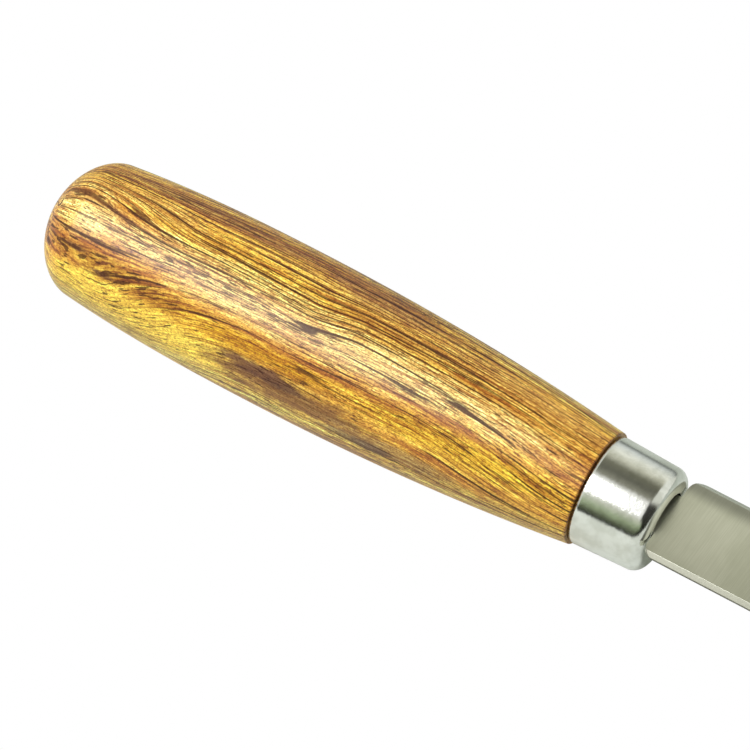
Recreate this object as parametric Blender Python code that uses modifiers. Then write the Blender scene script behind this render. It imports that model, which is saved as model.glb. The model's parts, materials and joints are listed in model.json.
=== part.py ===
"""Uncapping knife: a turned wooden handle, a drawn metal ferrule and a long two-edged blade.

The pieces are modelled on the knife's own axes: X along the handle towards the tip, Y across the
blade and Z through its flats. The scalloped edge is on +Y and the plain one on -Y. The empty
knife_axes then lays them down as the knife lies on a table, on the belly of the handle and the tip
of the blade, with the origin at the middle of the footprint.
"""

import math

import bmesh
import bpy
from mathutils import Vector

MM = 0.001
GAP = 0.3 * MM  # left between two pieces that touch
AXIS_WELD = 0.01 * MM
TURNED_STEPS = 56  # faces round the handle, the ferrule and the resin

# Handle
HANDLE_LENGTH = 121.7 * MM  # the wood that shows, from the butt to the ferrule
SWELL_RADIUS = 16.0 * MM
SWELL_STATION = 50.0 * MM  # from the butt to the thickest place
BUTT_RADIUS = 13.0 * MM  # where the swell would end if the butt were cut square
BUTT_DEPTH = 9.7 * MM
NECK_RADIUS = 11.7 * MM
NECK_EDGE = 0.5 * MM  # rounding of the wood beside the ferrule
BACK_TAPER = 2.4  # powers of the two sides of the swell
FRONT_TAPER = 2.1
BORE_TAIL = 4.0 * MM  # bore left behind the end of the tang
DRILL_POINT = 2.5 * MM

# Ferrule
FERRULE_LENGTH = 14.5 * MM
FERRULE_STEP = 0.55 * MM  # how far the wood stands proud of it
FERRULE_DRAFT = 0.45 * MM  # how much less its radius is in front
FERRULE_WALL = 0.9 * MM
FERRULE_CORNER = 2.6 * MM
FERRULE_RIM = 0.35 * MM  # rounding of its back edge
HOLE_CLEARANCE = 0.95 * MM  # round the tang, in the front wall

# Blade
BLADE_LENGTH = 280.0 * MM  # heel to tip
BLADE_WIDTH = 21.8 * MM
BLADE_THICKNESS = 1.3 * MM
BLADE_OFFSET = 2.5 * MM  # from the handle's axis to the middle of the blade's thickness
EDGE_THICKNESS = 0.2 * MM
BEVEL_WIDTH = 1.2 * MM
HEEL_RADIUS = 3.0 * MM
TIP_DEPTH = 24.0 * MM
TIP_HALF_WIDTH = 0.6 * MM  # half of the small flat that ends the tip
SCALLOP_START = 38.0 * MM  # from the heel to the first scallop
SCALLOP_PITCH = 8.5 * MM
SCALLOP_DEPTH = 0.9 * MM
SCALLOP_STATIONS = 6  # sections in each scallop

# Tang and the resin that holds it
TANG_LENGTH = 78.0 * MM
TANG_WIDTH = 9.0 * MM
TANG_THICKNESS = 1.1 * MM
TANG_ROOT = 6.0 * MM  # how far it runs on into the blade, to be one piece with it
RESIN_WALL = 0.85 * MM  # least resin beside the tang
RESIN_RECESS = 3.0 * MM  # how far the resin stops short of the tenon's front

# What follows from them
FERRULE_BACK = HANDLE_LENGTH + GAP
FERRULE_FRONT = FERRULE_BACK + FERRULE_LENGTH
FERRULE_BACK_RADIUS = NECK_RADIUS - FERRULE_STEP
FERRULE_FRONT_RADIUS = FERRULE_BACK_RADIUS - FERRULE_DRAFT
HEEL = FERRULE_FRONT + GAP
TANG_END = HEEL - TANG_LENGTH
TANG_TOP = BLADE_OFFSET + TANG_THICKNESS / 2
HOLE_RADIUS = math.hypot(TANG_WIDTH / 2, TANG_TOP) + HOLE_CLEARANCE
TENON_FRONT = FERRULE_FRONT - FERRULE_WALL - GAP
TENON_RADIUS = FERRULE_FRONT_RADIUS - FERRULE_WALL - GAP
RESIN_RADIUS = math.hypot(TANG_WIDTH / 2 + GAP, TANG_TOP + GAP) + RESIN_WALL
BORE_RADIUS = RESIN_RADIUS + GAP
BORE_END = TANG_END - BORE_TAIL
RESIN_FRONT = TENON_FRONT - RESIN_RECESS
RESIN_BACK = BORE_END + GAP
ALONG_X = (0, math.pi / 2, 0)  # turns a piece's own Z, its lathe axis, to the knife's X


def clear_scene():
    """Removes whatever the scene starts with."""
    for obj in list(bpy.data.objects):
        bpy.data.objects.remove(obj, do_unlink=True)


def new_collection(name):
    """A collection in the scene."""
    collection = bpy.data.collections.new(name)
    bpy.context.scene.collection.children.link(collection)
    return collection


def new_material(name, colour, roughness, metallic):
    """A plain Principled material."""
    material = bpy.data.materials.new(name)
    material.use_nodes = True
    shader = material.node_tree.nodes["Principled BSDF"]
    shader.inputs["Base Color"].default_value = (*colour, 1)
    shader.inputs["Roughness"].default_value = roughness
    shader.inputs["Metallic"].default_value = metallic
    return material


def new_object(name, mesh, collection, material=None):
    """An object holding the mesh, in the collection."""
    obj = bpy.data.objects.new(name, mesh)
    collection.objects.link(obj)
    if material:
        mesh.materials.append(material)
    return obj


def arc(centre, radius, start, end, steps, height=None):
    """Points (radius, station) along an arc, or an ellipse's if height is given. Angles in degrees."""
    height = radius if height is None else height
    angles = [math.radians(start + (end - start) * i / steps) for i in range(steps + 1)]
    return [(centre[0] + radius * math.cos(a), centre[1] + height * math.sin(a)) for a in angles]


def turned(name, profile, closed, collection, material):
    """A lathe shape: the profile's (radius, station) points, outer side from front to back, about X."""
    shape = bmesh.new()
    verts = [shape.verts.new((radius, 0, station)) for radius, station in profile]
    for first, second in zip(verts, verts[1:] + ([verts[0]] if closed else [])):
        shape.edges.new((first, second))
    mesh = bpy.data.meshes.new(name)
    shape.to_mesh(mesh)
    shape.free()
    obj = new_object(name, mesh, collection, material)
    screw = obj.modifiers.new("Lathe", "SCREW")
    screw.axis = "Z"
    screw.steps = screw.render_steps = TURNED_STEPS
    screw.use_merge_vertices = not closed
    screw.merge_threshold = AXIS_WELD
    screw.use_smooth_shade = True
    obj.rotation_euler = ALONG_X
    return obj


def wood_radius(station):
    """The handle's radius at a distance from the butt: a swell with an elliptical dome over its end."""
    if station < SWELL_STATION:
        fall = (1 - station / SWELL_STATION) ** BACK_TAPER
        radius = SWELL_RADIUS - (SWELL_RADIUS - BUTT_RADIUS) * fall
    else:
        fall = ((station - SWELL_STATION) / (HANDLE_LENGTH - SWELL_STATION)) ** FRONT_TAPER
        radius = SWELL_RADIUS - (SWELL_RADIUS - NECK_RADIUS) * fall
    if station < BUTT_DEPTH:
        radius *= math.sqrt(1 - (1 - station / BUTT_DEPTH) ** 2)
    return radius


def handle_stations():
    """Distances from the butt for the handle's profile, close together where the dome curves most."""
    dome = [BUTT_DEPTH * (1 - math.cos(math.pi / 2 * i / 10)) for i in range(1, 11)]
    body_length = HANDLE_LENGTH - NECK_EDGE - BUTT_DEPTH
    return dome + [BUTT_DEPTH + body_length * i / 18 for i in range(1, 19)]


def ferrule_corners():
    """The radii of the ferrule's front corner, outside and inside, as far as the hole leaves room."""
    outer = min(FERRULE_CORNER, FERRULE_FRONT_RADIUS - HOLE_RADIUS - FERRULE_WALL)
    return outer, max(outer - FERRULE_WALL, outer / 4)


def build_handle(collection, material):
    """The handle, with its tenon in front and the bore for the tang."""
    edge = (wood_radius(HANDLE_LENGTH - NECK_EDGE) - NECK_EDGE, HANDLE_LENGTH - NECK_EDGE)
    tenon_edge = ferrule_corners()[1]
    tenon_centre = (TENON_RADIUS - tenon_edge, TENON_FRONT - tenon_edge)
    profile = [(0, BORE_END - DRILL_POINT), (BORE_RADIUS, BORE_END), (BORE_RADIUS, TENON_FRONT)]
    profile += arc(tenon_centre, tenon_edge, 90, 0, 4) + [(TENON_RADIUS, HANDLE_LENGTH)]
    profile += arc(edge, NECK_EDGE, 90, 0, 4)[:-1]
    profile += [(wood_radius(station), station) for station in reversed(handle_stations())]
    profile += [(0, 0)]
    return turned("handle", profile, False, collection, material)


def build_ferrule(collection, material):
    """The ferrule: a drawn cup over the tenon, with a round hole for the tang in its front wall."""
    corner, inner_corner = ferrule_corners()
    corner_centre = (FERRULE_FRONT_RADIUS - corner, FERRULE_LENGTH - corner)
    inner_radius = FERRULE_FRONT_RADIUS - FERRULE_WALL
    inner_centre = (inner_radius - inner_corner, FERRULE_LENGTH - FERRULE_WALL - inner_corner)
    rim_centre = (FERRULE_BACK_RADIUS - FERRULE_RIM, FERRULE_RIM)
    profile = [(HOLE_RADIUS, FERRULE_LENGTH)]
    profile += arc(corner_centre, corner, 90, 0, 8)
    profile += arc(rim_centre, FERRULE_RIM, 0, -90, 3)
    profile += [(inner_radius + FERRULE_DRAFT, 0)]
    profile += arc(inner_centre, inner_corner, 0, 90, 4)
    profile += [(HOLE_RADIUS, FERRULE_LENGTH - FERRULE_WALL)]
    obj = turned("ferrule", profile, True, collection, material)
    obj.location.x = FERRULE_BACK
    return obj


def heel_half_width(station):
    """Half the blade's width with its heel corners rounded."""
    if station >= HEEL_RADIUS:
        return BLADE_WIDTH / 2
    drop = HEEL_RADIUS - math.sqrt(HEEL_RADIUS**2 - (HEEL_RADIUS - station) ** 2)
    return BLADE_WIDTH / 2 - drop


def tip_share(station, depth, end):
    """How much of the width is left at a station of a half-elliptical tip that ends at end."""
    run = max(0.0, (station - (end - depth)) / depth)
    return math.sqrt(max(0.0, 1 - run**2))


def scallop_count():
    """How many whole scallops fit between the heel and the tip."""
    return int((BLADE_LENGTH - TIP_DEPTH - SCALLOP_START) / SCALLOP_PITCH)


def scallop_cut(station):
    """How deep the scalloped edge is cut at a station."""
    turn = (station - SCALLOP_START) / SCALLOP_PITCH
    if not 0 < turn < scallop_count():
        return 0.0
    return SCALLOP_DEPTH * (1 - (2 * (turn % 1) - 1) ** 2)


def blade_stations():
    """Distances from the heel of the blade's sections."""
    heel = [HEEL_RADIUS * (1 - math.cos(math.pi / 2 * i / 6)) for i in range(7)]
    teeth = scallop_count() * SCALLOP_STATIONS
    scallops = [SCALLOP_START + SCALLOP_PITCH * i / SCALLOP_STATIONS for i in range(teeth + 1)]
    start = BLADE_LENGTH - TIP_DEPTH
    tip = [start + TIP_DEPTH * math.sin(math.pi / 2 * i / 16) for i in range(17)]
    return heel + scallops + [station for station in tip if station > scallops[-1] + GAP]


def blade_section(station):
    """Eight points round the blade at a station: each edge's land, the bevels and the two flats."""
    edge_half = EDGE_THICKNESS / 2
    flat_half = BLADE_THICKNESS / 2
    share = tip_share(station, TIP_DEPTH, BLADE_LENGTH)
    inner_share = tip_share(station, TIP_DEPTH - BEVEL_WIDTH, BLADE_LENGTH - BEVEL_WIDTH)
    ridge_rise = min(1.0, (BLADE_LENGTH - station) / BEVEL_WIDTH)
    ridge = edge_half + (flat_half - edge_half) * ridge_rise
    ends = []
    for cut in (0.0, scallop_cut(station)):
        edge = max((heel_half_width(station) - cut) * share, TIP_HALF_WIDTH)
        ground = BLADE_WIDTH / 2 - BEVEL_WIDTH - cut
        flat = max(min(ground * inner_share, edge - GAP), TIP_HALF_WIDTH / 2)
        rise = min(1.0, (BLADE_WIDTH / 2 - heel_half_width(station)) / BEVEL_WIDTH)
        land = edge_half + (flat_half - edge_half) * rise
        ends.append((edge, flat, land))
    (plain, plain_flat, plain_land), (wavy, wavy_flat, wavy_land) = ends
    upper = [(-plain, plain_land), (-plain_flat, ridge), (wavy_flat, ridge), (wavy, wavy_land)]
    lower = [(y, -z) for y, z in reversed(upper)]
    return [(station, y, z) for y, z in upper + lower]


def loft(shape, sections):
    """Joins sections of equal length in turn and closes both ends."""
    rings = [[shape.verts.new(point) for point in section] for section in sections]
    for ring, after in zip(rings, rings[1:]):
        for i, vert in enumerate(ring):
            j = (i + 1) % len(ring)
            shape.faces.new((vert, after[i], after[j], ring[j]))
    shape.faces.new(reversed(rings[0]))
    shape.faces.new(rings[-1])
    bmesh.ops.recalc_face_normals(shape, faces=shape.faces)


def box_between(name, low, high, collection, material=None):
    """A box from its low corner to its high one."""
    shape = bmesh.new()
    bmesh.ops.create_cube(shape, size=1)
    low, high = Vector(low), Vector(high)
    bmesh.ops.scale(shape, vec=high - low, verts=shape.verts)
    bmesh.ops.translate(shape, vec=(low + high) / 2, verts=shape.verts)
    mesh = bpy.data.meshes.new(name)
    shape.to_mesh(mesh)
    shape.free()
    return new_object(name, mesh, collection, material)


def hide_cutter(obj):
    """Marks a helper that Booleans use."""
    obj.hide_render = True
    obj.display_type = "WIRE"


def use_in_boolean(obj, other, operation):
    """Adds a Boolean of the other object to this one."""
    boolean = obj.modifiers.new(other.name, "BOOLEAN")
    boolean.operation = operation
    boolean.solver = "EXACT"
    boolean.object = other
    hide_cutter(other)


def build_blade(collection, cutters, material):
    """The blade and its tang, one piece of steel."""
    shape = bmesh.new()
    loft(shape, [blade_section(station) for station in blade_stations()])
    mesh = bpy.data.meshes.new("blade")
    shape.to_mesh(mesh)
    shape.free()
    obj = new_object("blade", mesh, collection, material)
    obj.location = (HEEL, 0, BLADE_OFFSET)
    half = (TANG_WIDTH / 2, TANG_THICKNESS / 2)
    low, high = (TANG_END, -half[0], TANG_TOP - TANG_THICKNESS), (HEEL + TANG_ROOT, half[0], TANG_TOP)
    use_in_boolean(obj, box_between("tang_stock", low, high, cutters), "UNION")
    return obj


def build_resin(collection, cutters, material):
    """The resin that fills the bore round the tang."""
    profile = [(0, RESIN_FRONT), (RESIN_RADIUS, RESIN_FRONT), (RESIN_RADIUS, RESIN_BACK), (0, RESIN_BACK)]
    obj = turned("tang_resin", profile, False, collection, material)
    side = TANG_WIDTH / 2 + GAP
    low = (TANG_END - GAP, -side, TANG_TOP - TANG_THICKNESS - GAP)
    high = (RESIN_FRONT + RESIN_RECESS, side, TANG_TOP + GAP)
    use_in_boolean(obj, box_between("tang_pocket", low, high, cutters), "DIFFERENCE")
    return obj


def rest_pitch():
    """How far the knife leans when it lies on the handle's belly and the blade's tip."""
    belly = [(station, wood_radius(station)) for station in handle_stations()]
    underside = [(HEEL + p[0], BLADE_OFFSET + p[2]) for s in blade_stations() for p in blade_section(s)]
    beyond = [(x, z) for x, z in underside if x > HEEL + BLADE_LENGTH / 2]
    slopes = [max((z + radius) / (x - station) for station, radius in belly) for x, z in beyond]
    return math.atan(min(slopes))


def world_bounds(objects):
    """The lowest and highest corners of the objects as the viewport evaluates them."""
    bpy.context.view_layer.update()
    graph = bpy.context.evaluated_depsgraph_get()
    points = []
    for obj in objects:
        evaluated = obj.evaluated_get(graph)
        mesh = evaluated.to_mesh()
        points += [evaluated.matrix_world @ vert.co for vert in mesh.vertices]
        evaluated.to_mesh_clear()
    low = Vector(min(point[i] for point in points) for i in range(3))
    high = Vector(max(point[i] for point in points) for i in range(3))
    return low, high


def lay_down(objects, cutters, collection):
    """Hangs every piece on one empty, leans it and puts the footprint's middle at the origin."""
    axes = bpy.data.objects.new("knife_axes", None)
    collection.objects.link(axes)
    for obj in objects + list(cutters.objects):
        obj.parent = axes
    axes.rotation_euler = (0, rest_pitch(), 0)
    low, high = world_bounds(objects)
    axes.location = (-(low.x + high.x) / 2, -(low.y + high.y) / 2, -low.z)


def main():
    """Builds the knife."""
    clear_scene()
    collection = new_collection("uncapping_knife")
    cutters = new_collection("cutters")
    wood = new_material("lacquered_wood", (0.60, 0.31, 0.09), 0.25, 0.0)
    plate = new_material("polished_ferrule", (0.72, 0.73, 0.72), 0.12, 1.0)
    steel = new_material("satin_steel", (0.50, 0.50, 0.45), 0.35, 1.0)
    resin = new_material("cured_resin", (0.16, 0.13, 0.10), 0.55, 0.0)
    pieces = [
        build_handle(collection, wood),
        build_ferrule(collection, plate),
        build_blade(collection, cutters, steel),
        build_resin(collection, cutters, resin),
    ]
    lay_down(pieces, cutters, collection)


main()
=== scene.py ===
"""Looks of an uncapping knife: a lacquered wooden handle, a polished ferrule and a satin steel blade.

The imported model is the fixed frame. Each sub-assembly below is a class that reads its sizes from
the frame, builds its mesh on the knife's own axes and lays it where the frame says. Each finish is
a small class that makes one procedural material.
"""

import json
import logging
import math
from collections.abc import Sequence
from dataclasses import dataclass
from enum import Enum

import bmesh
import bpy
from mathutils import Matrix, Vector


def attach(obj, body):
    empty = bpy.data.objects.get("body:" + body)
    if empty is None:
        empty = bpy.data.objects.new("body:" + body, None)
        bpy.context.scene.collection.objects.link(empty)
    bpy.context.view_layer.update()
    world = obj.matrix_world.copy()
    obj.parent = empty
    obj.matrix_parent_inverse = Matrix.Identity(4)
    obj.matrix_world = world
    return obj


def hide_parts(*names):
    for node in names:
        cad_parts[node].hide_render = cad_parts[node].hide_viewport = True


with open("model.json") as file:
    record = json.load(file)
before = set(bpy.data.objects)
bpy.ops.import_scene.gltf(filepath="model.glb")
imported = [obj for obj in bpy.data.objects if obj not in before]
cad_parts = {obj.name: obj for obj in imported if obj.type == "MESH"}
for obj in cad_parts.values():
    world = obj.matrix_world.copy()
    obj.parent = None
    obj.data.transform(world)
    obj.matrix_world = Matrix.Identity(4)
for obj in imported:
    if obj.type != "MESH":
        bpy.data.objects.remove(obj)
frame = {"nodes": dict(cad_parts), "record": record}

MM = 0.001
GAP = 0.3 * MM  # between one piece and the next
SAME_PLACE = 0.0005 * MM  # points nearer than this are merged
BEST_SIDE = math.radians(38.5)  # where the wood's best side faces, from Z towards -Y
ROOT_BODY = "root"
LOG = logging.getLogger("uncapping_knife")
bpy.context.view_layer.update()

Number = int | float
Colour = tuple[float, float, float]
Point = tuple[float, float, float]
Spot = tuple[float, float]  # a distance along or across, then a radius or a height
Run = tuple[float, float]  # where a smooth step starts and ends
Scale = tuple[float, float, float]  # features to a millimetre along and across, and a shift


class Slot(Enum):
    """The record's material slots."""

    WOOD = "lacquered_wood"
    PLATE = "polished_plate"
    STEEL = "satin_steel"
    RESIN = "cured_resin"


# ---------------------------------------------------------------------------------------------
# Shader graphs


class Value:
    """A shader socket that takes part in Python arithmetic, adding Math nodes as it goes."""

    def __init__(self, graph: "Graph", socket: bpy.types.NodeSocket) -> None:
        """Wraps an output socket of the graph."""
        self.graph = graph
        self.socket = socket

    def __add__(self, other: "Value | Number") -> "Value":
        """Sum."""
        return self.graph.math("ADD", self, other)

    __radd__ = __add__

    def __sub__(self, other: "Value | Number") -> "Value":
        """Difference."""
        return self.graph.math("SUBTRACT", self, other)

    def __rsub__(self, other: Number) -> "Value":
        """A number less this value."""
        return self.graph.math("SUBTRACT", other, self)

    def __mul__(self, other: "Value | Number") -> "Value":
        """Product."""
        return self.graph.math("MULTIPLY", self, other)

    __rmul__ = __mul__

    def __truediv__(self, other: "Value | Number") -> "Value":
        """Quotient."""
        return self.graph.math("DIVIDE", self, other)

    def __neg__(self) -> "Value":
        """Negative."""
        return self.graph.math("MULTIPLY", self, -1.0)

    def __abs__(self) -> "Value":
        """Size without its sign."""
        return self.graph.math("ABSOLUTE", self)

    def root(self) -> "Value":
        """Square root."""
        return self.graph.math("SQRT", self)

    def bell(self, width: Number) -> "Value":
        """Falls from 1 at zero towards 0 past the width."""
        return self.graph.math("EXPONENT", -((self / width) * (self / width)))

    def step(self, low: Number, high: Number) -> "Value":
        """Rises smoothly from 0 at low to 1 at high, or falls if low is above high.

        Args:
            low: Where it is 0.
            high: Where it is 1.

        Returns:
            0 to 1.
        """
        kind = {"interpolation_type": "SMOOTHSTEP", "clamp": True}
        if low < high:
            ends = {"From Min": low, "From Max": high, "To Min": 0.0, "To Max": 1.0}
        else:
            ends = {"From Min": high, "From Max": low, "To Min": 1.0, "To Max": 0.0}
        return self.graph.node("ShaderNodeMapRange", kind, {"Value": self, **ends}, "Result")


class Graph:
    """The node tree of one material or of the world."""

    def __init__(self, tree: bpy.types.NodeTree) -> None:
        """Clears the tree to start from nothing."""
        self.tree = tree
        tree.nodes.clear()

    def make(
        self,
        kind: str,
        settings: dict[str, object] | None = None,
        inputs: dict[str | int, object] | None = None,
    ) -> bpy.types.Node:
        """Makes a node.

        Args:
            kind: The node's Blender type.
            settings: Its properties, and "stops" for a colour ramp's (position, colour) pairs.
            inputs: A value, number, colour or vector for each named or numbered socket.

        Returns:
            The node.
        """
        made = self.tree.nodes.new(kind)
        for name, setting in (settings or {}).items():
            if name == "stops":
                self._set_stops(made.color_ramp, setting)
            else:
                setattr(made, name, setting)
        for name, given in (inputs or {}).items():
            self._plug(made.inputs[name], given)
        return made

    def node(
        self,
        kind: str,
        settings: dict[str, object] | None = None,
        inputs: dict[str | int, object] | None = None,
        output: str | int = 0,
    ) -> Value:
        """Makes a node, as make does, and hands back one of its output sockets as a value."""
        return Value(self, self.make(kind, settings, inputs).outputs[output])

    def _plug(self, socket: bpy.types.NodeSocket, given: object) -> None:
        """Links a value to a socket, or sets the socket.

        Args:
            socket: The input socket.
            given: The value, number, colour or vector it takes.
        """
        if isinstance(given, Value):
            self.tree.links.new(given.socket, socket)
        elif isinstance(given, tuple) and socket.type == "RGBA":
            socket.default_value = (*given[:3], 1.0)
        else:
            socket.default_value = given

    @staticmethod
    def _set_stops(ramp: bpy.types.ColorRamp, stops: Sequence[tuple[float, Colour]]) -> None:
        """Gives a ramp its stops.

        Args:
            ramp: The ramp.
            stops: (position, colour) pairs, in order of position.
        """
        while len(ramp.elements) < len(stops):
            ramp.elements.new(0.5)
        for element, (position, colour) in zip(ramp.elements, stops):
            element.position = position
            element.color = (*colour, 1.0)

    def math(self, operation: str, first: Value | Number, second: Value | Number = 0.0) -> Value:
        """One Math node."""
        return self.node("ShaderNodeMath", {"operation": operation}, {0: first, 1: second})

    def greater(self, first: Value, second: Value | Number) -> Value:
        """The larger of two values."""
        return self.math("MAXIMUM", first, second)

    def vector(self, x: Value | Number, y: Value | Number, z: Value | Number) -> Value:
        """Three values as a vector."""
        return self.node("ShaderNodeCombineXYZ", None, {"X": x, "Y": y, "Z": z})

    def parts(self, vector: Value) -> tuple[Value, Value, Value]:
        """A vector's three values."""
        split = self.make("ShaderNodeSeparateXYZ", None, {0: vector})
        return tuple(Value(self, socket) for socket in split.outputs)

    def noise(self, vector: Value, detail: Number = 3.0, roughness: Number = 0.55) -> Value:
        """Fractal noise.

        Args:
            vector: The place, with one feature to each unit.
            detail: How many finer layers it has.
            roughness: How strong each finer layer is.

        Returns:
            A value about 0.5.
        """
        settings = {"noise_dimensions": "3D"}
        inputs = {"Vector": vector, "Scale": 1.0, "Detail": detail, "Roughness": roughness}
        return self.node("ShaderNodeTexNoise", settings, inputs, 0)

    def ramp(self, value: Value, stops: Sequence[tuple[float, Colour]]) -> Value:
        """A colour that runs through the stops."""
        return self.node("ShaderNodeValToRGB", {"stops": stops}, {0: value})

    def mix(self, first: Value | Colour, second: Value | Colour, share: Value | Number) -> Value:
        """Two colours mixed, with the second's share."""
        return self._mixed("MIX", first, second, share)

    def tint(self, first: Value | Colour, second: Value | Colour, share: Value | Number) -> Value:
        """The first colour multiplied by the second, as far as the share says."""
        return self._mixed("MULTIPLY", first, second, share)

    def _mixed(self, blend: str, first: object, second: object, share: object) -> Value:
        """One Mix node on colours.

        Args:
            blend: How the node mixes.
            first: The colour below.
            second: The colour above.
            share: The share of the second.

        Returns:
            The colour.
        """
        made = self.make("ShaderNodeMix", {"data_type": "RGBA", "blend_type": blend})
        made.clamp_factor = True
        sockets = {socket.identifier: socket for socket in made.inputs}
        for identifier, given in (("Factor_Float", share), ("A_Color", first), ("B_Color", second)):
            self._plug(sockets[identifier], given)
        results = {socket.identifier: socket for socket in made.outputs}
        return Value(self, results["Result_Color"])

    def bump(self, height: Value, distance: Number, strength: Number = 1.0) -> Value:
        """A bumped normal.

        Args:
            height: 0 to 1 over the surface.
            distance: How high 1 stands, in metres.
            strength: How much of it shows.

        Returns:
            The normal.
        """
        inputs = {"Height": height, "Distance": distance, "Strength": strength}
        return self.node("ShaderNodeBump", None, inputs, "Normal")


@dataclass(frozen=True)
class KnifeAxes:
    """The knife's own axes: X from the butt to the tip, Y across the blade, Z through its flats."""

    pitch: float
    butt: Vector

    @classmethod
    def from_frame(cls, record: dict) -> "KnifeAxes":
        """Finds the axes from the blade's mount and the handle's node.

        Args:
            record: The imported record.

        Returns:
            The axes, with their origin at the butt, on the handle's axis.
        """
        flat = next(mount for mount in record["mounts"] if mount["name"] == "blade_flat")
        pitch = math.atan2(flat["axis"][0], flat["axis"][2])
        turn_back = Matrix.Rotation(-pitch, 3, "Y")
        points = [turn_back @ vert.co for vert in frame["nodes"]["handle"].data.vertices]
        low = Vector(min(point[i] for point in points) for i in range(3))
        high = Vector(max(point[i] for point in points) for i in range(3))
        middle = (low + high) / 2
        return cls(pitch, turn_back.inverted() @ Vector((low.x, middle.y, middle.z)))

    @property
    def matrix(self) -> Matrix:
        """Takes a point on the knife's axes to the frame."""
        return Matrix.Translation(self.butt) @ Matrix.Rotation(self.pitch, 4, "Y")

    def own_points(self, node: str) -> list[Vector]:
        """A node's points on the knife's own axes."""
        back = self.matrix.inverted()
        return [back @ vert.co for vert in frame["nodes"][node].data.vertices]

    def direction(self, vector: Point) -> Vector:
        """A direction on the knife's axes, in the frame."""
        return (self.matrix.to_3x3() @ Vector(vector)).normalized()


@dataclass(frozen=True)
class NodeShape:
    """What a node measures on the knife's own axes."""

    points: tuple[Vector, ...]

    @classmethod
    def read(cls, axes: KnifeAxes, node: str) -> "NodeShape":
        """Reads a node of the frame."""
        return cls(tuple(axes.own_points(node)))

    def lowest(self, axis: int) -> float:
        """The lowest place along an axis."""
        return min(point[axis] for point in self.points)

    def highest(self, axis: int) -> float:
        """The highest place along an axis."""
        return max(point[axis] for point in self.points)

    def radius(self, start: float = -math.inf, end: float = math.inf) -> float:
        """The largest distance from the knife's axis between two stations."""
        return max(math.hypot(p.y, p.z) for p in self.points if start <= p.x <= end)


@dataclass(frozen=True)
class Finish:
    """What every finish knows: where its piece lies."""

    axes: KnifeAxes

    def start(self, name: str) -> tuple[bpy.types.Material, Graph]:
        """Makes a new material.

        Args:
            name: Its name.

        Returns:
            The material and its empty graph.
        """
        material = bpy.data.materials.new(name)
        material.use_nodes = True
        return material, Graph(material.node_tree)

    def own_place(self, graph: Graph, turn: float = 0.0) -> tuple[Value, Value, Value]:
        """The place on the knife's own axes in millimetres.

        Args:
            graph: The material's graph.
            turn: How far Y and Z are turned about the knife's axis, in radians.

        Returns:
            Distances along X, Y and Z from the butt.
        """
        place = graph.node("ShaderNodeTexCoord", None, None, "Object")
        offset = Matrix.Rotation(-self.axes.pitch, 3, "Y") @ -self.axes.butt
        upright = graph.node(
            "ShaderNodeMapping",
            {"vector_type": "POINT"},
            {
                "Vector": place,
                "Rotation": (0.0, -self.axes.pitch, 0.0),
                "Scale": (1.0, 1.0, 1.0),
                "Location": tuple(offset),
            },
        )
        scaled = graph.node(
            "ShaderNodeMapping",
            {"vector_type": "POINT"},
            {"Vector": upright, "Rotation": (turn, 0.0, 0.0), "Scale": (1 / MM,) * 3},
        )
        return graph.parts(scaled)

    def finish(self, graph: Graph, inputs: dict[str | int, object]) -> None:
        """Ends the graph in one Principled shader."""
        shader = graph.node("ShaderNodeBsdfPrincipled", None, inputs)
        graph.make("ShaderNodeOutputMaterial", None, {"Surface": shader})


@dataclass(frozen=True)
class Sweep:
    """A swing of the grain round the handle, in millimetres along and degrees round."""

    swing: float
    run: Run
    centre: float
    reach: float


@dataclass(frozen=True)
class Patch:
    """A soft spot in the wood: its station and angle, its reach both ways, its colour. Most spots carry
    the wood's own colour; a few carry a painted highlight, and two carry painted shade.
    """

    station: float
    angle: float
    reach: Spot
    colour: Colour = (1.0, 1.0, 1.0)
    strength: float = 0.8


@dataclass(frozen=True)
class Streaks:
    """A set of long dark and light streaks in the wood."""

    scale: Scale
    roughness: float
    dark: Colour
    dark_run: Run
    light: Colour
    light_run: Run
    steady: bool = False  # whether the light ones are as strong where the wood is calm


@dataclass(frozen=True)
class GrowthLines:
    """A set of thin dark lines along the handle, in degrees apart, that swell and break off."""

    spacing: float
    wander: float
    shift: float
    swell_scale: Scale
    swell_run: Run
    swell: float
    edge: Run
    strength: float


@dataclass(frozen=True)
class Grain:
    """A place in the wood, following the grain."""

    along: Value
    angle: Value
    turned: Value
    side: Value
    depth: Value

    def rings(self, spacing: float, wander: float, shift: float) -> Value:
        """How far a place is from the nearest of the lines that run along the grain.

        Args:
            spacing: Degrees from one line to the next.
            wander: How many spacings the lines stray.
            shift: Tells one set of lines from another.

        Returns:
            0 on a line, 0.5 midway between two.
        """
        graph = self.along.graph
        stray = graph.noise(self.at(0.010, 0.30, shift), 1.0) * wander
        return graph.math("PINGPONG", self.turned / spacing + stray, 0.5)

    def at(self, along_scale: float, cross_scale: float, shift: float = 0.0) -> Value:
        """The place as a vector for a texture.

        Args:
            along_scale: Features to each millimetre along the grain.
            cross_scale: Features to each millimetre across it.
            shift: Moves the pattern, so that two textures don't match.

        Returns:
            The vector.
        """
        graph = self.along.graph
        x = self.along * along_scale + shift
        return graph.vector(x, self.side * cross_scale + shift, self.depth * (cross_scale * 0.45))


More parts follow.
